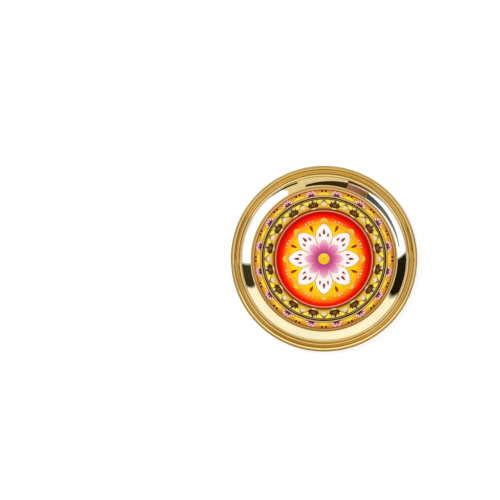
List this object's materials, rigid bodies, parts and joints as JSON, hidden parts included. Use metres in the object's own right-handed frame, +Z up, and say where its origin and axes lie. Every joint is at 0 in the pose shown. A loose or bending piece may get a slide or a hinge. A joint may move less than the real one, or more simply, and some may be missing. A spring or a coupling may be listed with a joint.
{
  "type": "decorative plate",
  "caption": "Round brass-coloured decorative plate with a moulded rim and a lotus-bordered enamel print in its well.",
  "frame": {"origin": "centre of the flat underside of the base, on the surface that the plate stands on", "axes": "+Z up along the plate's axis, out of the well; +Y towards the top of the decoration; +X to its right"},
  "size_m": [0.23, 0.23, 0.01],
  "materials": {
    "brass": "mirror polish, lacquered",
    "adhesive": "matt",
    "disc_face": "gold-coloured satin face",
    "red_ink": "gloss enamel ink",
    "orange_ink": "gloss enamel ink",
    "yellow_ink": "gloss enamel ink",
    "dark_brown_ink": "gloss enamel ink",
    "lotus_brown_ink": "gloss enamel ink",
    "pink_ink": "gloss enamel ink",
    "white_ink": "gloss enamel ink"
  },
  "bodies": {
    "root": {"adhesive_film": "adhesive", "band_divider": "dark_brown_ink", "brown_lotus_01": "lotus_brown_ink", "brown_lotus_02": "lotus_brown_ink", "brown_lotus_03": "lotus_brown_ink", "brown_lotus_04": "lotus_brown_ink", "brown_lotus_05": "lotus_brown_ink", "brown_lotus_06": "lotus_brown_ink", "brown_lotus_07": "lotus_brown_ink", "brown_lotus_08": "lotus_brown_ink", "brown_lotus_09": "lotus_brown_ink", "brown_lotus_10": "lotus_brown_ink", "brown_lotus_11": "lotus_brown_ink", "brown_lotus_12": "lotus_brown_ink", "brown_lotus_13": "lotus_brown_ink", "brown_lotus_14": "lotus_brown_ink", "brown_lotus_15": "lotus_brown_ink", "brown_lotus_16": "lotus_brown_ink", "bud_garland": "white_ink", "carrier_disc": "disc_face", "dish": "brass", "inner_band_ground": "orange_ink", "inner_leaf_ring": "yellow_ink", "inner_outline": "dark_brown_ink", "medallion_ground": "red_ink", "outer_band_ground": "orange_ink", "outer_leaf_ring": "yellow_ink", "outer_outline": "dark_brown_ink", "pink_lotus_01": "pink_ink", "pink_lotus_02": "pink_ink", "pink_lotus_03": "pink_ink", "pink_lotus_04": "pink_ink", "pink_lotus_05": "pink_ink", "pink_lotus_06": "pink_ink", "pink_lotus_07": "pink_ink", "pink_lotus_08": "pink_ink", "pink_lotus_09": "pink_ink", "pink_lotus_10": "pink_ink", "pink_lotus_11": "pink_ink", "pink_lotus_12": "pink_ink", "pink_lotus_13": "pink_ink", "pink_lotus_14": "pink_ink", "pink_lotus_15": "pink_ink", "pink_lotus_16": "pink_ink", "rosette_halo": "orange_ink", "rosette_heart": "yellow_ink", "rosette_inner_flower": "pink_ink", "rosette_petal_01": "white_ink", "rosette_petal_02": "white_ink", "rosette_petal_03": "white_ink", "rosette_petal_04": "white_ink", "rosette_petal_05": "white_ink", "rosette_petal_06": "white_ink", "rosette_petal_07": "white_ink", "rosette_petal_08": "white_ink"}
  },
  "joints": []
}
